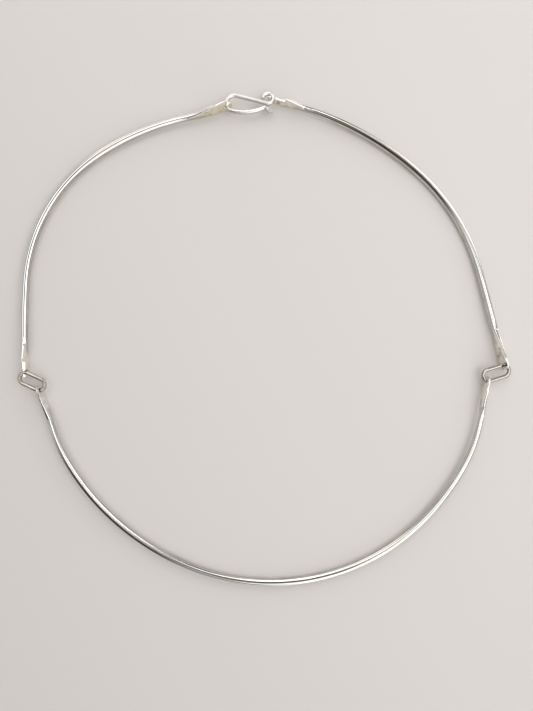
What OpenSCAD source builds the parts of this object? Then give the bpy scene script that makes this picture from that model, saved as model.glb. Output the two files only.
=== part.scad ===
// Silver collar choker: three forged bows, joined at the sides by oval rings and closed by a hook.
// Seen from above, the clasp is at the back (+Y) and the long front bow comes round at -Y.
// It lies as it does on a table: each bow stands on its two paddles and on its belly.

/* [Bows] */
// Diameter of the round rod that the bows are forged from
rod_d = 2; // [1.8:0.1:2.2]
// Diameter that a bow is drawn down to before its paddles
neck_d = 1.5; // [1.4:0.1:1.7]
// Height of every hole above the table, which is the lower half of a paddle
hole_h = 2.3; // [2.1:0.1:2.5]
// Diameter of the hole drilled through each paddle
hole_d = 2; // [1.9:0.05:2.1]
// Thickness of a paddle where it is thinnest
paddle_t = 0.5; // [0.4:0.05:0.6]
// How far a paddle runs past the middle of its hole
tip_len = 1.35; // [1.3:0.05:1.45]

/* [Oval rings] */
// Wire diameter of an oval ring
link_wire = 1.05; // [0.9:0.05:1.1]
// Radius of its wire's centre line round each end
link_r = 1.6; // [1.6:0.05:1.7]
// Length of its straight sides
link_straight = 4.1; // [4.1:0.1:4.4]

/* [Hook] */
// Wire diameter of the hook
hook_wire = 1.1; // [0.95:0.05:1.15]
// Radius of the wire's centre line round the hook's eye
eye_r = 1.35; // [1.3:0.05:1.45]
// Gap between the hook's lower limb and its shank
mouth = 0.2; // [0.1:0.05:0.4]

/* [Hidden] */

// Columns of a stretch of rod: its length, and how far it turns to the left
LENGTH = 0;
TURN = 1;
// Columns of a paddle: how long it flares, how high it stands above its hole, and how far on the
// rod has its full diameter
FLARE = 0;
RISE = 1;
TAPER = 2;

// Every bow runs counter-clockwise. A start is its first hole and the way it sets off
FRONT_START = [-61.7, -14.6, -71];
FRONT_ROD = [
    [5, 0], [5, -4], [12, 16], [48.5, 40.5],
    [66, 63.5], [18, 16], [16, 21], [9.2, 0]];
FRONT_PADDLES = [[11, 2, 18], [11, 2.1, 40]];
RIGHT_START = [65.8, -7.65, 102];
RIGHT_ROD = [[26, 2.5], [33, 33.5], [38, 26.8], [7.7, 0]];
RIGHT_PADDLES = [[12.5, 2.7, 14], [12, 2.7, 28]];
LEFT_START = [-10.2, 63.5, 197];
LEFT_ROD = [[5, 0], [6, -6.5], [25, 20.5], [44.5, 56.5], [24.8, 6.7]];
LEFT_PADDLES = [[13, 3, 40], [11, 2.3, 18]];
// Which way each oval ring lies, from its middle towards the upper bow's hole
LEFT_LINK_ANGLE = 155.2;
RIGHT_LINK_ANGLE = 17.5;

SILVER = [0.86, 0.85, 0.83];
ROD_SIDES = 16;
WIRE_SIDES = 14;
TIP_RINGS = 5;
FLARE_RINGS = 9;
ROD_STEP = 2.4;
WIRE_STEP = 0.45;
CURVE = 48;
BELLY_SPOTS = 100;
// Squareness of a section: a plain ellipse, and a hammered paddle
ROUND = 2;
HAMMERED = 5;
// Where the last ring of a rounded tip lies, as a share of the tip
TIP_END = 0.985;

rod_r = rod_d / 2;
neck_r = neck_d / 2;

// The path of a rod or wire. A place is [x, y, heading]

function radius(stretch) = stretch[LENGTH] / (stretch[TURN] * PI / 180);

function go_straight(p, s) = [p.x + s * cos(p.z), p.y + s * sin(p.z), p.z];

function go_round(p, r, s) =
    let (h = p.z + s / r * 180 / PI)
    [p.x + r * (sin(h) - sin(p.z)), p.y - r * (cos(h) - cos(p.z)), h];

function go(p, stretch, s) =
    stretch[TURN] == 0 ? go_straight(p, s) : go_round(p, radius(stretch), s);

function total(rod, i = 0) = i == len(rod) ? 0 : rod[i][LENGTH] + total(rod, i + 1);

// The place at distance s along a rod. Before its start and past its end it runs straight on
function place(start, rod, s, i = 0) =
    s < 0 ? go_straight(start, s)
    : i == len(rod) ? go_straight(start, s)
    : s <= rod[i][LENGTH] ? go(start, rod[i], s)
    : place(go(start, rod[i], rod[i][LENGTH]), rod, s - rod[i][LENGTH], i + 1);

function spot(p) = [p.x, p.y];

// The holes at both ends of a bow
function first_hole(start) = spot(start);
function last_hole(start, rod) = spot(place(start, rod, total(rod)));

// A skin over rings of points

function power(v, e) = sign(v) * pow(abs(v), e);

// A section round place p, at height z
function ring(p, half_t, up, down, squareness, sides, z = 0) =
    [for (i = [0 : sides - 1])
        let (c = power(cos(360 * i / sides), 2 / squareness))
        let (s = power(sin(360 * i / sides), 2 / squareness))
        let (w = half_t * c)
        [p.x - w * sin(p.z), p.y + w * cos(p.z), z + (s > 0 ? up : down) * s]];

module skin(rings) {
    n = len(rings[0]);
    top = len(rings) - 1;
    quads = [for (k = [0 : top - 1], i = [0 : n - 1])
        [k * n + i, k * n + (i + 1) % n, (k + 1) * n + (i + 1) % n, (k + 1) * n + i]];
    sides = [for (q = quads) each [[q[0], q[2], q[1]], [q[0], q[3], q[2]]]];
    first_cap = [for (i = [1 : n - 2]) [0, i, i + 1]];
    last_cap = [for (i = [1 : n - 2]) [top * n, top * n + i + 1, top * n + i]];
    polyhedron([for (r = rings) each r], concat(first_cap, sides, last_cap));
}

// Bows

// How far along a bow its sections lie: close together in the tips and flares, apart on the rod
function tip_stations() = [for (k = [0 : TIP_RINGS]) -tip_len * TIP_END * cos(90 * k / TIP_RINGS)];
function flare_stations(flare) = [for (k = [1 : FLARE_RINGS]) flare * k / FLARE_RINGS];
function end_stations(flare) = concat(tip_stations(), flare_stations(flare));
function rod_stations(from, to) =
    let (n = ceil((to - from) / ROD_STEP))
    [for (k = [1 : n - 1]) from + (to - from) * k / n];
function stations(l, paddles) = concat(
    end_stations(paddles[0][FLARE]),
    rod_stations(paddles[0][FLARE], l - paddles[1][FLARE]),
    [for (k = [FLARE_RINGS + TIP_RINGS : -1 : 0]) l - end_stations(paddles[1][FLARE])[k]]);

// Radius of the tapered rod, where its nearer hole is e further out
function swell(e, taper) =
    let (share = min(1, max(0, e / taper)))
    neck_r + (rod_r - neck_r) * (1 - cos(180 * share)) / 2;

// Section of a bow at place p, where its nearer hole is e further out along the rod.
// Hammering spreads the rod upright and thins it, more and more towards the rounded tip
function bow_ring(p, e, paddle) =
    let (r = swell(e, paddle[TAPER]))
    let (share = min(1, max(0, e / paddle[FLARE])))
    let (spread = (1 + cos(180 * share)) / 2)
    let (rounding = e < 0 ? sqrt(1 - pow(e / tip_len, 2)) : 1)
    let (half_t = r * pow(paddle_t / (2 * r), 1 - sin(90 * share)))
    let (up = (r + (paddle[RISE] - r) * spread) * rounding)
    let (down = (r + (hole_h - r) * spread) * rounding)
    ring(p, half_t, up, down, ROUND + (HAMMERED - ROUND) * spread, ROD_SIDES);

module rod_with_paddles(start, rod, paddles) {
    l = total(rod);
    skin([for (s = stations(l, paddles))
        bow_ring(place(start, rod, s), min(s, l - s), s < l / 2 ? paddles[0] : paddles[1])]);
}

module hole(p) {
    translate([p.x, p.y, 0])
        rotate([90, 0, p.z])
            cylinder(h = 4 * rod_d, d = hole_d, center = true, $fn = CURVE);
}

// How far the belly of a bow stands off the line through its two holes
function belly(start, rod) =
    let (a = first_hole(start), b = last_hole(start, rod), l = total(rod))
    max([for (k = [1 : BELLY_SPOTS - 1])
        let (q = place(start, rod, l * k / BELLY_SPOTS))
        cross(spot(q) - a, b - a) / norm(b - a)]);

// A bow lies tilted about the line through its holes, so that its belly touches the table
module bow(start, rod, paddles) {
    a = first_hole(start);
    b = last_hole(start, rod);
    tilt = asin((hole_h - rod_r) / belly(start, rod));
    color(SILVER)
        translate([a.x, a.y, hole_h])
            rotate(a = tilt, v = [b.x - a.x, b.y - a.y, 0])
                translate([-a.x, -a.y, 0])
                    difference() {
                        rod_with_paddles(start, rod, paddles);
                        hole(start);
                        hole(place(start, rod, total(rod)));
                    }
}

module left_bow() {
    bow(LEFT_START, LEFT_ROD, LEFT_PADDLES);
}

module right_bow() {
    bow(RIGHT_START, RIGHT_ROD, RIGHT_PADDLES);
}

module front_bow() {
    bow(FRONT_START, FRONT_ROD, FRONT_PADDLES);
}

// Oval rings

module link_end() {
    translate([link_straight / 2, 0, 0])
        rotate(-90)
            rotate_extrude(angle = 180, $fn = CURVE)
                translate([link_r, 0])
                    circle(d = link_wire, $fn = CURVE);
}

module link_side() {
    translate([-link_straight / 2, link_r, 0])
        rotate([0, 90, 0])
            cylinder(h = link_straight, d = link_wire, $fn = CURVE);
}

// The middle of an oval ring that lies at an angle and whose wire runs through two holes,
// one on each of its round ends. It can lie to the left or to the right of the line between them
function link_middle(hole_a, hole_b, angle, side) =
    let (half = link_straight / 2 * [cos(angle), sin(angle)])
    let (a = hole_a - half, b = hole_b + half)
    let (q = norm(a - b) / 2)
    let (off = side * sqrt(max(0, link_r * link_r - q * q)) / (2 * q))
    (a + b) / 2 + off * [a.y - b.y, b.x - a.x];

module link(hole_a, hole_b, angle, side) {
    middle = link_middle(hole_a, hole_b, angle, side);
    color(SILVER)
        translate([middle.x, middle.y, hole_h])
            rotate(angle)
                for (turn = [0, 180])
                    rotate(turn) {
                        link_end();
                        link_side();
                    }
}

module left_link() {
    link(last_hole(LEFT_START, LEFT_ROD), first_hole(FRONT_START), LEFT_LINK_ANGLE, -1);
}

module right_link() {
    link(first_hole(RIGHT_START), last_hole(FRONT_START, FRONT_ROD), RIGHT_LINK_ANGLE, 1);
}

// Hook. In its own frame the shank runs along -X from under the eye, and everything is in one plane

// Where the right bow's hole lies on the eye, as an angle round it
EYE_HOLE = 9;
// The cut end of the eye's wire, which butts against the shank
EYE_CUT = 200;
// Radius of the bend as it leaves the shank, and of its tighter second half
BEND_IN = 2.3;
BEND_OUT = 2.05;
// How far the second half has turned where it runs through the left bow's hole
BEND_HOLE = 36;
// How far the lower limb turns in its long curve back up towards the shank
LIMB_RISE = 39;
// Radius of the last bend, and the length and the fall of the flattened tip
TURN_OUT = 0.7;
TIP_FALL = 26;
TIP_LENGTH = 2;
TIP_HALF_WIDTH = 0.62;
TIP_HALF_HEIGHT = 0.36;
TIP_STEPS = 5;
// How much smaller the very last section is, which rounds the tip off
TIP_ROUNDING = 0.6;

eye_middle = [0, eye_r];
eye_hole = eye_middle + eye_r * [cos(EYE_HOLE), sin(EYE_HOLE)];
bend_middle = [BEND_OUT - BEND_IN, -BEND_IN];
bend_hole = bend_middle - BEND_OUT * [cos(BEND_HOLE), sin(BEND_HOLE)];
clasp_gap = norm(last_hole(RIGHT_START, RIGHT_ROD) - first_hole(LEFT_START));
// The shank is as long as it takes to reach from one hole to the other
shank = bend_hole.x - eye_hole.x + sqrt(pow(clasp_gap, 2) - pow(eye_hole.y - bend_hole.y, 2));
limb_start = bend_middle.y - BEND_OUT;
limb_top = -(hook_wire + mouth) - TURN_OUT * (1 - cos(LIMB_RISE));
limb_r = (limb_top - limb_start) / (1 - cos(LIMB_RISE));

function arc_length(r, angle) = r * angle * PI / 180;

// Stretches of the hook's wire, from the cut end of the eye to the last bend
EYE_TURN = 360 - (270 - EYE_CUT);
HOOK_PATH = [
    [arc_length(eye_r, EYE_TURN), -EYE_TURN],
    [shank, 0],
    [arc_length(BEND_IN, 90), 90],
    [arc_length(BEND_OUT, 90), 90],
    [arc_length(limb_r, LIMB_RISE), LIMB_RISE],
    [arc_length(TURN_OUT, LIMB_RISE + TIP_FALL), -(LIMB_RISE + TIP_FALL)]];

module hook_wire_skin() {
    r = hook_wire / 2;
    l = total(HOOK_PATH);
    n = ceil(l / WIRE_STEP);
    cut = [eye_r * cos(EYE_CUT), eye_r + eye_r * sin(EYE_CUT), EYE_CUT - 90];
    tip = place(cut, HOOK_PATH, l);
    wire = [for (k = [0 : n]) ring(place(cut, HOOK_PATH, l * k / n), r, r, r, ROUND, WIRE_SIDES)];
    flat = [for (k = [1 : TIP_STEPS])
        let (f = k / TIP_STEPS, rounding = k == TIP_STEPS ? TIP_ROUNDING : 1)
        let (w = r + (TIP_HALF_WIDTH - r) * f, h = r + (TIP_HALF_HEIGHT - r) * f)
        ring(go_straight(tip, TIP_LENGTH * f), w * rounding, h * rounding, h * rounding, ROUND, WIRE_SIDES)];
    skin(concat(wire, flat));
}

module hook() {
    from = last_hole(RIGHT_START, RIGHT_ROD);
    to = first_hole(LEFT_START);
    own = bend_hole - [shank, 0] - eye_hole;
    turn = atan2(to.y - from.y, to.x - from.x) - atan2(own.y, own.x);
    color(SILVER)
        translate([from.x, from.y, hole_h])
            rotate(turn)
                translate([-eye_hole.x, -eye_hole.y, 0])
                    hook_wire_skin();
}

left_bow();
right_bow();
front_bow();
left_link();
right_link();
hook();
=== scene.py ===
"""Silver collar choker: three forged bows, two oval rings and a hook.

Every piece is made as a silversmith makes it. A straight bar is drawn out, hammered and drilled,
bent round its path, and laid in its place. Lengths are millimetres, except those of the floor
and the lamps, which are metres. Angles in the tables are degrees.
"""

import math
import random

import bpy
import numpy as np
from mathutils import Matrix, Vector


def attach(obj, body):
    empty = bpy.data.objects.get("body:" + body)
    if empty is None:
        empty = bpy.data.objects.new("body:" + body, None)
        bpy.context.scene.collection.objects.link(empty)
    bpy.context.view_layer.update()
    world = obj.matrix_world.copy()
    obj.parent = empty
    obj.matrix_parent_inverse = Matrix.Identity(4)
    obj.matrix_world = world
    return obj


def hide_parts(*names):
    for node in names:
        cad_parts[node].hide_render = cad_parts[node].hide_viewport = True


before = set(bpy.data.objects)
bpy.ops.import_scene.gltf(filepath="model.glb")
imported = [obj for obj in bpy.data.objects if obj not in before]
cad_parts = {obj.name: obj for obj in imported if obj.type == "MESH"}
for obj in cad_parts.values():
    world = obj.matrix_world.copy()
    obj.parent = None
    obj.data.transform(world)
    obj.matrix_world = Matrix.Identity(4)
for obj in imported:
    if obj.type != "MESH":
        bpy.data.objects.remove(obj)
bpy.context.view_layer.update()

MM = 0.001

# The collar's own sizes
ROD_R = 1
NECK_R = 0.75
HOLE_H = 2.3
HOLE_R = 1
PADDLE_T = 0.5
TIP_LEN = 1.35
RING_WIRE_R = 0.525
RING_R = 1.6
RING_SIDE = 4.1
HOOK_WIRE_R = 0.55
EYE_R = 1.35
MOUTH = 0.2

# A bow: its first hole and heading, its rod as (length, turn), its paddles as
# (flare, rise, taper), and how much stain and painted reflection the cheeks of each one carry
FRONT = dict(
    start=(-61.7, -14.6, -71),
    rod=((5, 0), (5, -4), (12, 16), (48.5, 40.5), (66, 63.5), (18, 16), (16, 21), (9.2, 0)),
    paddles=((11, 2, 18), (11, 2.1, 40)), stains_and_reflections=(0.4, 0.15))
RIGHT = dict(
    start=(65.8, -7.65, 102), rod=((26, 2.5), (33, 33.5), (38, 26.8), (7.7, 0)),
    paddles=((12.5, 2.7, 14), (12, 2.7, 28)), stains_and_reflections=(1, 0.8))
LEFT = dict(
    start=(-10.2, 63.5, 197), rod=((5, 0), (6, -6.5), (25, 20.5), (44.5, 56.5), (24.8, 6.7)),
    paddles=((13, 3, 40), (11, 2.3, 18)), stains_and_reflections=(1, 0.3))
LEFT_RING_ANGLE = 155.2
RIGHT_RING_ANGLE = 17.5


# ---- Paths

def go(place, length, turn):
    """The place [x, y, heading] after a stretch of rod that turns to the left."""
    x, y, h = place
    a = math.radians(h)
    if abs(turn) < 1e-9:
        return x + length * math.cos(a), y + length * math.sin(a), h
    r = length / math.radians(turn)
    b = math.radians(h + turn)
    return x + r * (math.sin(b) - math.sin(a)), y - r * (math.cos(b) - math.cos(a)), h + turn


def total(rod):
    return sum(length for length, _ in rod)


def place_at(start, rod, s):
    if s < 0:
        return go(start, s, 0)
    for length, turn in rod:
        if s <= length:
            return go(start, s, turn * s / length)
        start = go(start, length, turn)
        s -= length
    return go(start, s, 0)


def first_hole(bow):
    return Vector(bow["start"][:2])


def last_hole(bow):
    return Vector(place_at(bow["start"], bow["rod"], total(bow["rod"]))[:2])


# ---- Bench work

SMOOTH_ANGLE = 40
PATH_STEP = 0.1
OUTLINE_SPOTS = 720
# How hammer marks differ from one another, as the least and the most of their usual spacing,
# width and depth
APART = (0.6, 1.4)
WIDE = (0.7, 1.3)
FLAT_DEEP = (0.5, 1)
DIMPLE_DEEP = (0.4, 1)
# The furthest round a rod that a flat can reach, in radians
FLAT_REACH = 1.2
# A drill with a countersink: how far it reaches, and the rim that it breaks
HOLE_SIDES = 48
DRILL_REACH = 2.5
DRILL_CLEARANCE = 0.02
RIM_DEPTH = 0.06
RIM_WIDTH = 0.08
# How gradually the painted shade on the lower sides sets in below the shade line, and where the
# stain and painted reflection on a cheek ends
SHADE_FADE = 0.25
CHEEK_TINT_EDGE = 0.82
CHEEK_TINT_FADE = 0.1


def alone(piece):
    if bpy.context.object and bpy.context.object.mode != "OBJECT":
        bpy.ops.object.mode_set(mode="OBJECT")
    bpy.ops.object.select_all(action="DESELECT")
    piece.select_set(True)
    bpy.context.view_layer.objects.active = piece


def apply_modifier(piece, kind, **settings):
    alone(piece)
    m = piece.modifiers.new(kind.lower(), kind)
    for name, value in settings.items():
        setattr(m, name, value)
    bpy.ops.object.modifier_apply(modifier=m.name)


def draw_bar(name, stations, radius, sides):
    """A round bar along X: a disc, extruded from station to station."""
    bpy.ops.object.select_all(action="DESELECT")
    bpy.ops.mesh.primitive_circle_add(
        vertices=sides, radius=radius * MM, fill_type="NGON",
        location=(stations[0] * MM, 0, 0), rotation=(0, math.pi / 2, 0))
    bar = bpy.context.object
    bar.name = bar.data.name = name
    bpy.ops.object.transform_apply(location=True, rotation=True, scale=True)
    bpy.ops.object.mode_set(mode="EDIT")
    bpy.ops.mesh.select_all(action="SELECT")
    for a, b in zip(stations, stations[1:]):
        bpy.ops.mesh.extrude_region_move(TRANSFORM_OT_translate={"value": ((b - a) * MM, 0, 0)})
    bpy.ops.mesh.select_all(action="SELECT")
    bpy.ops.mesh.subdivide(number_cuts=1, smoothness=0)
    bpy.ops.mesh.normals_make_consistent(inside=False)
    bpy.ops.object.mode_set(mode="OBJECT")
    return bar


def coordinates(piece):
    co = np.empty(len(piece.data.vertices) * 3, np.float32)
    piece.data.vertices.foreach_get("co", co)
    return co.reshape(-1, 3).astype(float) / MM


def set_coordinates(piece, co):
    piece.data.vertices.foreach_set("co", (co * MM).astype(np.float32).ravel())
    piece.data.update()


def outline(half_t, up, down, square):
    """Points evenly spaced round a section, from a plain ellipse to a squared-off paddle."""
    a = np.linspace(0, 2 * np.pi, OUTLINE_SPOTS + 1)
    c = np.sign(np.cos(a)) * np.abs(np.cos(a)) ** (2 / square)
    s = np.sign(np.sin(a)) * np.abs(np.sin(a)) ** (2 / square)
    y, z = half_t * c, np.where(s > 0, up, down) * s
    run = np.concatenate([[0], np.cumsum(np.hypot(np.diff(y), np.diff(z)))])
    return run / run[-1], y, z


def beat_to_section(bar, section):
    """Moves every ring of the bar onto the section that it has at that distance."""
    co = coordinates(bar)
    rounds = np.mod(np.arctan2(co[:, 2], co[:, 1]) / (2 * np.pi), 1)
    xs = np.round(co[:, 0], 4)
    for x in np.unique(xs):
        ring = xs == x
        run, y, z = outline(*section(float(x)))
        co[ring, 1] = np.interp(rounds[ring], run, y)
        co[ring, 2] = np.interp(rounds[ring], run, z)
    set_coordinates(bar, co)


def measured_from(towards, angles):
    """Angles round a bar measured from another one, from -pi to pi."""
    return np.mod(angles - towards + np.pi, 2 * np.pi) - np.pi


def planish(bar, radii, half_length, depth, spacing, draw, keep_off=()):
    """Small flats of the finishing hammer round a rod, each one a plane that cuts the surface."""
    co = coordinates(bar)
    r = np.hypot(co[:, 1], co[:, 2])
    a = np.arctan2(co[:, 2], co[:, 1])
    x, end = co[:, 0].min(), co[:, 0].max()
    while x < end:
        x += spacing * draw.uniform(*APART)
        towards = draw.uniform(-math.pi, math.pi)
        deep = depth * draw.uniform(*FLAT_DEEP)
        long = half_length * draw.uniform(*WIDE)
        if any(lo < x < hi for lo, hi in keep_off):
            continue
        near = np.abs(co[:, 0] - x) < long
        off = measured_from(towards, a)
        near &= np.abs(off) < FLAT_REACH
        flat = radii[near] - deep + deep * ((co[near, 0] - x) / long) ** 2
        cut = np.minimum(r[near], flat / np.cos(off[near]))
        co[near, 1] *= cut / r[near]
        co[near, 2] *= cut / r[near]
        r[near] = cut
    set_coordinates(bar, co)


def dimple_cheeks(bar, spans, depth, size, count, draw):
    """Hammer marks on both cheeks of the paddles."""
    co = coordinates(bar)
    for lo, hi, height in spans:
        for _ in range(count):
            x, z = draw.uniform(lo, hi), draw.uniform(-height, height)
            side = draw.choice((-1, 1))
            wide = size * draw.uniform(*WIDE)
            deep = depth * draw.uniform(*DIMPLE_DEEP)
            d2 = (co[:, 0] - x) ** 2 + (co[:, 2] - z) ** 2
            hit = (d2 < wide * wide) & (co[:, 1] * side > 0)
            co[hit, 1] -= side * deep * (1 - d2[hit] / wide ** 2) ** 2
    set_coordinates(bar, co)


def drill(bar, x, half_t):
    """A hole across the bar, with its rims broken by a countersink."""
    face, wide = half_t + DRILL_CLEARANCE, HOLE_R + RIM_WIDTH
    profile = [(-DRILL_REACH, wide), (-face, wide), (RIM_DEPTH - half_t, HOLE_R),
               (half_t - RIM_DEPTH, HOLE_R), (face, wide), (DRILL_REACH, wide)]
    bpy.ops.object.select_all(action="DESELECT")
    bpy.ops.mesh.primitive_circle_add(
        vertices=HOLE_SIDES, radius=profile[0][1] * MM, fill_type="NGON",
        location=(x * MM, profile[0][0] * MM, 0), rotation=(math.pi / 2, 0, 0))
    bit = bpy.context.object
    bpy.ops.object.transform_apply(location=True, rotation=True, scale=True)
    bpy.ops.object.mode_set(mode="EDIT")
    bpy.ops.mesh.select_all(action="SELECT")
    for (y0, r0), (y1, r1) in zip(profile, profile[1:]):
        bpy.ops.mesh.extrude_region_move(TRANSFORM_OT_translate={"value": (0, (y1 - y0) * MM, 0)})
        bpy.ops.transform.resize(value=(r1 / r0, 1, r1 / r0), center_override=(x * MM, y1 * MM, 0))
    bpy.ops.mesh.select_all(action="SELECT")
    bpy.ops.mesh.normals_make_consistent(inside=False)
    bpy.ops.object.mode_set(mode="OBJECT")
    apply_modifier(bar, "BOOLEAN", operation="DIFFERENCE", solver="EXACT", object=bit)
    bpy.data.objects.remove(bit)


def mark_along(bar):
    """Keeps each point's place on the straight bar, which the silver's fine marks follow."""
    co = coordinates(bar) * MM
    layer = bar.data.attributes.new("along", "FLOAT_VECTOR", "POINT")
    layer.data.foreach_set("vector", co.astype(np.float32).ravel())


def mark(bar, name, values):
    layer = bar.data.attributes.new(name, "FLOAT", "POINT")
    layer.data.foreach_set("value", np.clip(values, 0, 1).astype(np.float32))


def mark_shade_and_cheek_tint(bar, heights, shade_line, spread=0, stain_and_reflection=0):
    """Keeps where painted shade darkens the lower sides below the shade line, and where a beaten
    cheek is stained, with painted reflection in the stain.

    Heights are those of the section above and below its middle, at each point."""
    z = coordinates(bar)[:, 2]
    level = z / heights
    # Painted shade: the lower sides are darkened below the shade line, except on the beaten cheeks
    mark(bar, "shaded_flank", (shade_line - level) / SHADE_FADE * (1 - spread))
    # The beaten cheeks are marked for stain with painted reflection in it
    mark(bar, "cheek", stain_and_reflection * np.clip(spread * (CHEEK_TINT_EDGE - np.abs(level)) / CHEEK_TINT_FADE, 0, 1))


def bend(bar, start, rod):
    """Bends the straight bar round its path with a curve."""
    length = total(rod)
    count = math.ceil(length / PATH_STEP)
    path = bpy.data.curves.new("bending_path", "CURVE")
    path.dimensions = "3D"
    path.twist_mode = "Z_UP"
    line = path.splines.new("POLY")
    line.points.add(count)
    for k, point in enumerate(line.points):
        x, y, _ = place_at(start, rod, length * k / count)
        point.co = (x * MM, y * MM, 0, 1)
    guide = bpy.data.objects.new("bending_path", path)
    bpy.context.scene.collection.objects.link(guide)
    apply_modifier(bar, "CURVE", object=guide, deform_axis="POS_X")
    bpy.data.objects.remove(guide)
    bpy.data.curves.remove(path)


def finish_piece(piece, node, body, silver):
    alone(piece)
    bpy.ops.object.shade_smooth_by_angle(angle=math.radians(SMOOTH_ANGLE))
    piece.data.materials.clear()
    piece.data.materials.append(silver)
    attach(piece, body)
    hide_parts(node)


# ---- Bows

ROD_SIDES = 32
SQUARE_PADDLE = 5
# Stations along a bow: in a rounded tip and where its last one lies, in a flare, and on the rod
TIP_STATIONS = 9
TIP_END = 0.998
FLARE_STEP = 0.35
ROD_STEP = 0.9
BELLY_SPOTS = 100
# The least that a rounded tip thins, squared
TIP_THINNEST = 0.05
# Shares of the flare with dimples, and of the spreading from which a cheek counts as beaten
DIMPLED = 0.7
BEATEN = 0.6
# How high on a rod the painted shade of the lower sides stops
ROD_SHADE_LINE = 0.7


def swell(e, taper):
    """Radius of the tapered rod at a distance from its nearer hole."""
    share = np.clip(e / taper, 0, 1)
    return NECK_R + (ROD_R - NECK_R) * (1 - np.cos(np.pi * share)) / 2


def bow_section(bow):
    length = total(bow["rod"])

    def section(s):
        near_first = s < length / 2
        e = s if near_first else length - s
        flare, rise, taper = bow["paddles"][0 if near_first else 1]
        r = swell(e, taper)
        share = min(1, max(0, e / flare))
        spread = (1 + math.cos(math.pi * share)) / 2
        rounding = math.sqrt(max(0, 1 - (e / TIP_LEN) ** 2)) if e < 0 else 1
        half_t = r * (PADDLE_T / (2 * r)) ** (1 - math.sin(math.pi / 2 * share))
        past = (-e - (TIP_LEN - half_t)) / half_t
        half_t *= math.sqrt(max(TIP_THINNEST, 1 - past * past)) if past > 0 else 1
        up = (r + (rise - r) * spread) * rounding
        down = (r + (HOLE_H - r) * spread) * rounding
        return half_t, up, down, 2 + (SQUARE_PADDLE - 2) * spread

    return section


def bow_stations(bow):
    length = total(bow["rod"])
    ends = []
    for flare, _, _ in bow["paddles"]:
        tip = [-TIP_LEN * TIP_END * math.cos(math.pi / 2 * k / TIP_STATIONS)
               for k in range(TIP_STATIONS + 1)]
        ends.append(tip + [FLARE_STEP * k for k in range(1, int(flare / FLARE_STEP) + 1)])
    first, last = ends[0], [length - s for s in reversed(ends[1])]
    count = math.ceil((last[0] - first[-1]) / ROD_STEP)
    middle = [first[-1] + (last[0] - first[-1]) * k / count for k in range(1, count)]
    return first + middle + last


def lying(bow):
    """The turn that lays a bow on its belly, about the line through its two holes."""
    a, b = first_hole(bow), last_hole(bow)
    chord = (b - a).normalized()
    length = total(bow["rod"])
    belly = max((Vector(place_at(bow["start"], bow["rod"], length * k / BELLY_SPOTS)[:2]) - a)
                .cross(chord) for k in range(1, BELLY_SPOTS))
    tilt = math.asin((HOLE_H - ROD_R) / belly)
    return (Matrix.Translation(Vector((a.x, a.y, HOLE_H)) * MM)
            @ Matrix.Rotation(tilt, 4, Vector((chord.x, chord.y, 0)))
            @ Matrix.Translation(Vector((-a.x, -a.y, 0)) * MM))


def make_bow(name, node, body, bow, seed, silver):
    draw = random.Random(seed)
    length = total(bow["rod"])
    bar = draw_bar(name, bow_stations(bow), ROD_R, ROD_SIDES)
    section = bow_section(bow)
    beat_to_section(bar, section)
    (flare_a, rise_a, taper_a), (flare_b, rise_b, taper_b) = bow["paddles"]
    x = coordinates(bar)[:, 0]
    radii = np.where(x < length / 2, swell(x, taper_a), swell(length - x, taper_b))
    paddles = ((-TIP_LEN, flare_a), (length - flare_b, length + TIP_LEN))
    planish(bar, radii, half_length=4, depth=0.006, spacing=0.5, draw=draw, keep_off=paddles)
    spans = ((-TIP_LEN, flare_a * DIMPLED, rise_a),
             (length - flare_b * DIMPLED, length + TIP_LEN, rise_b))
    dimple_cheeks(bar, spans, depth=0.035, size=0.9, count=60, draw=draw)
    mark_along(bar)
    co = coordinates(bar)
    sections = [section(float(x)) for x in co[:, 0]]
    heights = np.array([up if z > 0 else down for (_, up, down, _), z in zip(sections, co[:, 2])])
    share = np.minimum(co[:, 0] / flare_a, (length - co[:, 0]) / flare_b).clip(0, 1)
    spread = (1 + np.cos(np.pi * share)) / 2
    stain_and_reflection = np.where(co[:, 0] < length / 2, *bow["stains_and_reflections"])
    mark_shade_and_cheek_tint(bar, heights, ROD_SHADE_LINE, spread.clip(0, BEATEN) / BEATEN, stain_and_reflection)
    drill(bar, 0, PADDLE_T / 2)
    drill(bar, length, PADDLE_T / 2)
    bend(bar, bow["start"], bow["rod"])
    bar.data.transform(lying(bow))
    finish_piece(bar, node, body, silver)


# ---- Rings

WIRE_SIDES = 16
RING_STEP = 0.3
# How high on a ring wire the painted shade of the lower sides stops
RING_SHADE_LINE = 0.9
# Soft dents round a ring: their depth is a share of the wire's radius, their width an angle
DENTS = 30
DENT_DEPTH = 0.02
DENT_LENGTH = 0.8
DENT_WIDTH = 0.7
# How squarely a face looks along the wire to be an end, and how far apart the ends can be to join
END_FACE = 0.9
SEAM = 0.02


def ring_middle(a, b, angle, side):
    half = RING_SIDE / 2 * Vector((math.cos(math.radians(angle)), math.sin(math.radians(angle))))
    p, q = a - half, b + half
    reach = (p - q).length / 2
    off = side * math.sqrt(max(0, RING_R ** 2 - reach ** 2)) / (2 * reach)
    return (p + q) / 2 + off * Vector((p.y - q.y, q.x - p.x))


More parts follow.
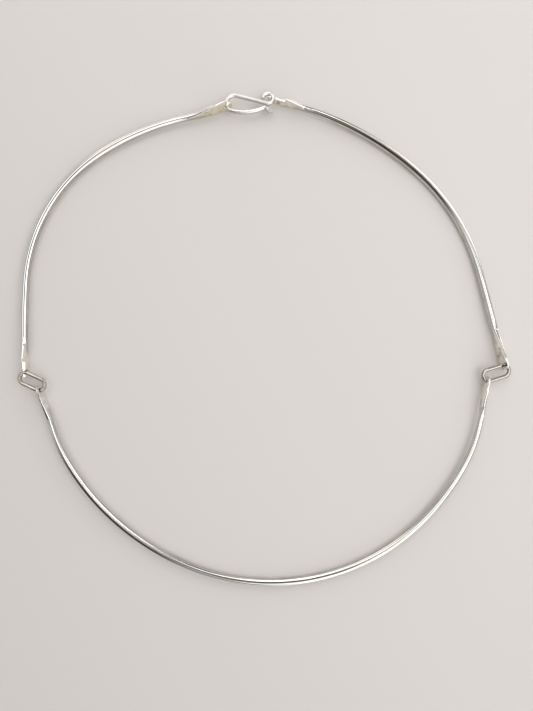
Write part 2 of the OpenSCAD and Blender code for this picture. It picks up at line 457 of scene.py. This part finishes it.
def make_ring(name, node, a, b, angle, side, seed, silver):
    """An oval ring, bent from straight wire and closed on its straight side."""
    draw = random.Random(seed)
    rod = ((RING_SIDE / 2, 0), (math.pi * RING_R, 180), (RING_SIDE, 0),
           (math.pi * RING_R, 180), (RING_SIDE / 2, 0))
    length = total(rod)
    count = math.ceil(length / RING_STEP)
    wire = draw_bar(
        name, [length * k / count for k in range(count + 1)], RING_WIRE_R, WIRE_SIDES)
    co = coordinates(wire)
    for _ in range(DENTS):
        x, towards = draw.uniform(1, length - 1), draw.uniform(-math.pi, math.pi)
        off = measured_from(towards, np.arctan2(co[:, 2], co[:, 1]))
        soft = np.exp(-((co[:, 0] - x) / DENT_LENGTH) ** 2 - (off / DENT_WIDTH) ** 2)
        co[:, 1:] *= 1 - (DENT_DEPTH * soft)[:, None]
    set_coordinates(wire, co)
    mark_along(wire)
    mark_shade_and_cheek_tint(wire, RING_WIRE_R, RING_SHADE_LINE)
    bpy.ops.object.mode_set(mode="EDIT")
    bpy.ops.mesh.select_all(action="DESELECT")
    bpy.ops.mesh.select_mode(type="FACE")
    bpy.ops.object.mode_set(mode="OBJECT")
    for face in wire.data.polygons:
        face.select = abs(face.normal.x) > END_FACE
    bpy.ops.object.mode_set(mode="EDIT")
    bpy.ops.mesh.delete(type="ONLY_FACE")
    bpy.ops.object.mode_set(mode="OBJECT")
    middle = ring_middle(a, b, angle, side)
    turn = math.radians(angle)
    out = Vector((math.sin(turn), -math.cos(turn))) * RING_R
    start = middle + out
    bend(wire, (start.x, start.y, angle), rod)
    bpy.ops.object.mode_set(mode="EDIT")
    bpy.ops.mesh.select_all(action="SELECT")
    bpy.ops.mesh.remove_doubles(threshold=SEAM * MM)
    bpy.ops.mesh.normals_make_consistent(inside=False)
    bpy.ops.object.mode_set(mode="OBJECT")
    wire.data.transform(Matrix.Translation((0, 0, HOLE_H * MM)))
    finish_piece(wire, node, "links", silver)


# ---- Hook

# Where the right bow's hole lies round the eye, and where the eye's wire is cut off
EYE_HOLE = 9
EYE_CUT = 200
# The two halves of the bend, and how far the second has turned in the left bow's hole
BEND_IN = 2.3
BEND_OUT = 2.05
BEND_HOLE = 36
# The lower limb's long curve, its turn outwards, and its flattened tip
LIMB_RISE = 39
TURN_OUT = 0.7
TIP_FALL = 26
HOOK_TIP = 2
HOOK_TIP_HALF_WIDTH = 0.62
HOOK_TIP_HALF_HEIGHT = 0.36
# Both ends of the wire are rounded over this length, with stations close together there
CUT_ROUNDING = 0.35
CUT_THINNEST = 0.2
CUT_STATIONS = (0, 0.03, 0.08, 0.16, 0.3)
HOOK_STEP = 0.25
# A groove along the top of the tip
GROOVE_START = 0.6
GROOVE_DEPTH = 0.16
GROOVE_WIDTH = 0.2
# How high on the hook wire the painted shade of the lower sides stops
HOOK_SHADE_LINE = 0.6


def arc(r, angle):
    return r * math.radians(angle)


def make_hook(silver):
    a, b = last_hole(RIGHT), first_hole(LEFT)
    eye = Vector((0, EYE_R)) + EYE_R * Vector((math.cos(math.radians(EYE_HOLE)),
                                              math.sin(math.radians(EYE_HOLE))))
    bend_at = Vector((BEND_OUT - BEND_IN, -BEND_IN)) - BEND_OUT * Vector((
        math.cos(math.radians(BEND_HOLE)), math.sin(math.radians(BEND_HOLE))))
    shank = bend_at.x - eye.x + math.sqrt((b - a).length ** 2 - (eye.y - bend_at.y) ** 2)
    limb_top = -(2 * HOOK_WIRE_R + MOUTH) - TURN_OUT * (1 - math.cos(math.radians(LIMB_RISE)))
    limb_r = (limb_top + BEND_IN + BEND_OUT) / (1 - math.cos(math.radians(LIMB_RISE)))
    eye_turn = 90 + EYE_CUT
    rod = ((arc(EYE_R, eye_turn), -eye_turn), (shank, 0), (arc(BEND_IN, 90), 90),
           (arc(BEND_OUT, 90), 90), (arc(limb_r, LIMB_RISE), LIMB_RISE),
           (arc(TURN_OUT, LIMB_RISE + TIP_FALL), -(LIMB_RISE + TIP_FALL)))
    length = total(rod)
    end = length + HOOK_TIP

    def section(s):
        f = max(0, (s - length) / HOOK_TIP)
        left = min(s, end - s)
        rounding = 1
        if left < CUT_ROUNDING:
            rounding = math.sqrt(max(CUT_THINNEST, 1 - (1 - left / CUT_ROUNDING) ** 2))
        half_w = HOOK_WIRE_R + (HOOK_TIP_HALF_WIDTH - HOOK_WIRE_R) * f
        half_h = HOOK_WIRE_R + (HOOK_TIP_HALF_HEIGHT - HOOK_WIRE_R) * f
        return half_w * rounding, half_h * rounding, half_h * rounding, 2 + f

    plain = end - 2 * CUT_STATIONS[-1]
    count = math.ceil(plain / HOOK_STEP)
    stations = [*CUT_STATIONS, *(CUT_STATIONS[-1] + plain * k / count for k in range(1, count)),
                *(end - s for s in reversed(CUT_STATIONS))]
    wire = draw_bar("silver_hook", stations, HOOK_WIRE_R, WIRE_SIDES)
    beat_to_section(wire, section)
    co = coordinates(wire)
    on_tip = np.clip((co[:, 0] - length) / GROOVE_START, 0, 1) * (co[:, 2] > 0)
    co[:, 2] -= GROOVE_DEPTH * on_tip * np.exp(-(co[:, 1] / GROOVE_WIDTH) ** 2)
    set_coordinates(wire, co)
    mark_along(wire)
    mark_shade_and_cheek_tint(wire, HOOK_WIRE_R, HOOK_SHADE_LINE)
    start = Vector((EYE_R * math.cos(math.radians(EYE_CUT)),
                    EYE_R + EYE_R * math.sin(math.radians(EYE_CUT))))
    bend(wire, (start.x, start.y, EYE_CUT - 90), rod)
    own = bend_at - Vector((shank, 0)) - eye
    turn = math.atan2(b.y - a.y, b.x - a.x) - math.atan2(own.y, own.x)
    wire.data.transform(Matrix.Translation(Vector((a.x, a.y, HOLE_H)) * MM)
                        @ Matrix.Rotation(turn, 4, "Z")
                        @ Matrix.Translation(Vector((-eye.x, -eye.y, 0)) * MM))
    finish_piece(wire, "hook", "back", silver)


# ---- Silver

# How fine the noise is behind the stains with painted reflection and the painted shade, behind
# rubbed places, and behind the scratches
SPECKLE = 700
RUBBED = 900
HAIRLINE = 6000
SCRATCH_STRENGTH = 0.2
SCRATCH_DEPTH = 0.01
# Colours: of bare silver, of the cheeks between their stains and painted reflections, and of
# tarnish
WHITE = (0.93, 0.92, 0.90)
CREAM = (0.95, 0.92, 0.84)
WARM = (0.90, 0.85, 0.74)
# Painted shade on the lower sides, as (dark, pale): faint on the bows and the hook, deep on the
# rings
FAINT_SHADE = ((0.48, 0.45, 0.41), (0.72, 0.69, 0.65))
DEEP_SHADE = ((0.24, 0.21, 0.18), (0.50, 0.46, 0.41))


def silver_finish(name, rough, cloud, clean, warm, painted_shade, blotch_and_reflection=None):
    """Polished sterling silver, with hairline scratches along the piece and a breath of tarnish.

    Cloud is how fine the tarnish is, which goes from a clean colour to a warm one. The painted
    shade on the lower sides, below the shade line, has colours (dark, pale). Where silver is beaten
    flat it has mottled stains with painted reflection in them too, with colours (stain, gold)."""
    m = bpy.data.materials.new(name)
    m.use_nodes = True
    nodes, links = m.node_tree.nodes, m.node_tree.links
    shader = nodes["Principled BSDF"]
    shader.inputs["Metallic"].default_value = 1
    along = nodes.new("ShaderNodeAttribute")
    along.attribute_name = "along"
    place = nodes.new("ShaderNodeTexCoord")

    def noise(source, scale, detail, stretch=(1, 1, 1)):
        mapping = nodes.new("ShaderNodeMapping")
        mapping.inputs["Scale"].default_value = stretch
        tex = nodes.new("ShaderNodeTexNoise")
        tex.inputs["Scale"].default_value = scale
        tex.inputs["Detail"].default_value = detail
        links.new(source, mapping.inputs["Vector"])
        links.new(mapping.outputs["Vector"], tex.inputs["Vector"])
        return tex.outputs["Fac"]

    def ramp(source, stops):
        r = nodes.new("ShaderNodeValToRGB")
        elements = r.color_ramp.elements
        for k, (at, colour) in enumerate(stops):
            e = elements[k] if k < 2 else elements.new(at)
            e.position, e.color = at, (*colour, 1)
        links.new(source, r.inputs["Fac"])
        return r.outputs["Color"]

    def marked(attribute):
        a = nodes.new("ShaderNodeAttribute")
        a.attribute_name = attribute
        return a.outputs["Fac"]

    def blend(amount, first, second):
        mix = nodes.new("ShaderNodeMix")
        mix.data_type = "RGBA"
        links.new(amount, mix.inputs["Factor"])
        links.new(first, mix.inputs["A"])
        links.new(second, mix.inputs["B"])
        return mix.outputs["Result"]

    tarnish = noise(place.outputs["Object"], cloud, detail=3)
    colour = ramp(tarnish, ((0.42, clean), (0.72, warm)))
    # The mottled colour of the beaten cheeks is part stain, part painted reflection
    if blotch_and_reflection:
        stain_and_reflection, gold = blotch_and_reflection
        spots = noise(place.outputs["Object"], SPECKLE, detail=5)
        mottled = ramp(spots, ((0.36, stain_and_reflection), (0.5, gold), (0.66, CREAM)))
        colour = blend(marked("cheek"), colour, mottled)
    # Painted shade: the lower sides below the shade line are darkened with a streaked film
    dark, pale = painted_shade
    streaks = noise(along.outputs["Vector"], SPECKLE, detail=3, stretch=(0.3, 1, 1))
    shade_film = ramp(streaks, ((0.3, dark), (0.7, pale)))
    links.new(blend(marked("shaded_flank"), colour, shade_film), shader.inputs["Base Color"])
    wear = noise(along.outputs["Vector"], RUBBED, detail=4, stretch=(0.25, 1, 1))
    smoothest, roughest = rough * 0.7, rough * 1.5
    links.new(ramp(wear, ((0.35, (smoothest,) * 3), (0.7, (roughest,) * 3))),
              shader.inputs["Roughness"])
    hair = noise(along.outputs["Vector"], HAIRLINE, detail=2, stretch=(0.06, 1, 1))
    bump = nodes.new("ShaderNodeBump")
    bump.inputs["Strength"].default_value = SCRATCH_STRENGTH
    bump.inputs["Distance"].default_value = SCRATCH_DEPTH * MM
    links.new(hair, bump.inputs["Height"])
    links.new(bump.outputs["Normal"], shader.inputs["Normal"])
    return m


# The bows' cheeks carry stains with painted reflection in them: gold on the left bow, brown-grey on
# the right and front bows
golden = silver_finish("forged_silver_golden", rough=0.06, cloud=90, clean=WHITE, warm=WARM,
                       painted_shade=FAINT_SHADE, blotch_and_reflection=((0.60, 0.52, 0.38), (0.93, 0.87, 0.70)))
brown = silver_finish("forged_silver_brown", rough=0.06, cloud=90, clean=WHITE, warm=WARM,
                      painted_shade=FAINT_SHADE, blotch_and_reflection=((0.42, 0.37, 0.31), (0.80, 0.76, 0.70)))
drawn = silver_finish("drawn_silver_wire", rough=0.06, cloud=260, clean=(0.57, 0.54, 0.49),
                      warm=(0.44, 0.41, 0.36), painted_shade=DEEP_SHADE)
clasp = silver_finish("clasp_silver_wire", rough=0.36, cloud=260, clean=WHITE,
                      warm=(0.86, 0.83, 0.79), painted_shade=FAINT_SHADE)

make_bow("left_silver_bow", "left_bow", "back", LEFT, seed=3, silver=golden)
make_bow("right_silver_bow", "right_bow", "back", RIGHT, seed=5, silver=brown)
make_bow("front_silver_bow", "front_bow", "front", FRONT, seed=7, silver=brown)
make_ring("left_silver_ring", "left_link", last_hole(LEFT), first_hole(FRONT),
          LEFT_RING_ANGLE, side=-1, seed=11, silver=drawn)
make_ring("right_silver_ring", "right_link", first_hole(RIGHT), last_hole(FRONT),
          RIGHT_RING_ANGLE, side=1, seed=13, silver=drawn)
make_hook(clasp)


# ---- Floor, light and camera

FLOOR_SIZE = 4
FLOOR_COLOUR = (0.82, 0.78, 0.755)
CEILING = 0.35
# Where a patch of the room starts to fade and where it ends, as shares of its radius
PATCH_INNER = 0.65
PATCH_OUTER = 1.35
ROOM = (0.40, 0.40, 0.40)
DARK = (0.03, 0.025, 0.02)
DIM = (0.25, 0.23, 0.20)
BRIGHT = (1.5, 1.48, 1.44)
# The camera's place, its rise above the holes, and half the height of what it sees level with them
CAMERA_X = 0.7
CAMERA_Y = -5.0
CAMERA_RISE = 147
HALF_VIEW = 97.75
SENSOR_HEIGHT = 24
NEAREST = 1


def pale_floor():
    bpy.ops.object.select_all(action="DESELECT")
    bpy.ops.mesh.primitive_plane_add(size=FLOOR_SIZE)
    floor = bpy.context.object
    floor.name = "floor"
    m = bpy.data.materials.new("pale_floor")
    m.use_nodes = True
    shader = m.node_tree.nodes["Principled BSDF"]
    shader.inputs["Base Color"].default_value = (*FLOOR_COLOUR, 1)
    shader.inputs["Roughness"].default_value = 0.9
    shader.inputs["Specular IOR Level"].default_value = 0.1
    floor.data.materials.append(m)


def ceiling_panel(name, west, east, south, north, brightness):
    """A flat lamp over the table that faces straight down. Its brightness shows in the silver."""
    light = bpy.data.lights.new(name, "AREA")
    light.shape = "RECTANGLE"
    light.size, light.size_y = east - west, north - south
    light.energy = brightness * math.pi * light.size * light.size_y
    lamp = bpy.data.objects.new(name, light)
    lamp.location = ((west + east) / 2, (south + north) / 2, CEILING)
    lamp.visible_camera = False
    bpy.context.scene.collection.objects.link(lamp)


def studio_room(pale, patches):
    """A pale room all round, with softly edged patches that show in the silver.

    A patch is (azimuth, angle from straight up, radius, colour), in degrees."""
    world = bpy.data.worlds.new("studio")
    bpy.context.scene.world = world
    world.use_nodes = True
    nodes, links = world.node_tree.nodes, world.node_tree.links
    coord = nodes.new("ShaderNodeTexCoord")
    tone = nodes.new("ShaderNodeRGB")
    tone.outputs[0].default_value = (*pale, 1)
    seen = tone.outputs[0]
    for azimuth, polar, radius, colour in patches:
        a, p, r = math.radians(azimuth), math.radians(polar), math.radians(radius)
        near = nodes.new("ShaderNodeVectorMath")
        near.operation = "DOT_PRODUCT"
        near.inputs[1].default_value = (
            math.sin(p) * math.cos(a), math.sin(p) * math.sin(a), math.cos(p))
        links.new(coord.outputs["Generated"], near.inputs[0])
        edge = nodes.new("ShaderNodeMapRange")
        edge.interpolation_type = "SMOOTHSTEP"
        edge.inputs["From Min"].default_value = math.cos(r * PATCH_OUTER)
        edge.inputs["From Max"].default_value = math.cos(r * PATCH_INNER)
        links.new(near.outputs["Value"], edge.inputs["Value"])
        mix = nodes.new("ShaderNodeMix")
        mix.data_type = "RGBA"
        mix.inputs["B"].default_value = (*colour, 1)
        links.new(edge.outputs["Result"], mix.inputs["Factor"])
        links.new(seen, mix.inputs["A"])
        seen = mix.outputs["Result"]
    links.new(seen, nodes["Background"].inputs["Color"])
    nodes["Background"].inputs["Strength"].default_value = 1


pale_floor()
studio_room(ROOM, (
    (-62, 55, 16, BRIGHT), (-72, 80, 16, BRIGHT), (-80, 38, 10, BRIGHT), (40, 75, 15, BRIGHT),
    (97, 74, 14, BRIGHT), (120, 78, 12, BRIGHT), (175, 28, 11, BRIGHT), (140, 30, 11, BRIGHT),
    (0, 0, 4, DARK), (90, 12, 6, DARK), (91, 24, 8, DARK), (86, 36, 7, DARK),
    (72, 50, 7, DIM), (66, 64, 7, DARK), (228, 16, 7, DARK),
    (228, 32, 10, DARK), (228, 48, 13, DARK), (224, 68, 12, DIM), (246, 62, 10, DARK),
    (262, 68, 8, DIM)))
ceiling_panel("east_panel", west=0.07, east=0.36, south=-0.20, north=0.08, brightness=1.7)
ceiling_panel("north_east_panel", west=0.28, east=0.80, south=0.24, north=0.66, brightness=1.3)
ceiling_panel("north_panel", west=-0.15, east=0.12, south=0.15, north=0.80, brightness=1.2)

lens = bpy.data.cameras.new("camera")
lens.sensor_fit = "VERTICAL"
lens.sensor_height = SENSOR_HEIGHT
lens.lens = SENSOR_HEIGHT / 2 / (HALF_VIEW / CAMERA_RISE)
lens.clip_start = NEAREST * MM
camera = bpy.data.objects.new("camera", lens)
camera.location = (CAMERA_X * MM, CAMERA_Y * MM, (CAMERA_RISE + HOLE_H) * MM)
bpy.context.scene.collection.objects.link(camera)
bpy.context.scene.camera = camera
bpy.context.scene.view_settings.view_transform = "Standard"

bpy.context.view_layer.update()
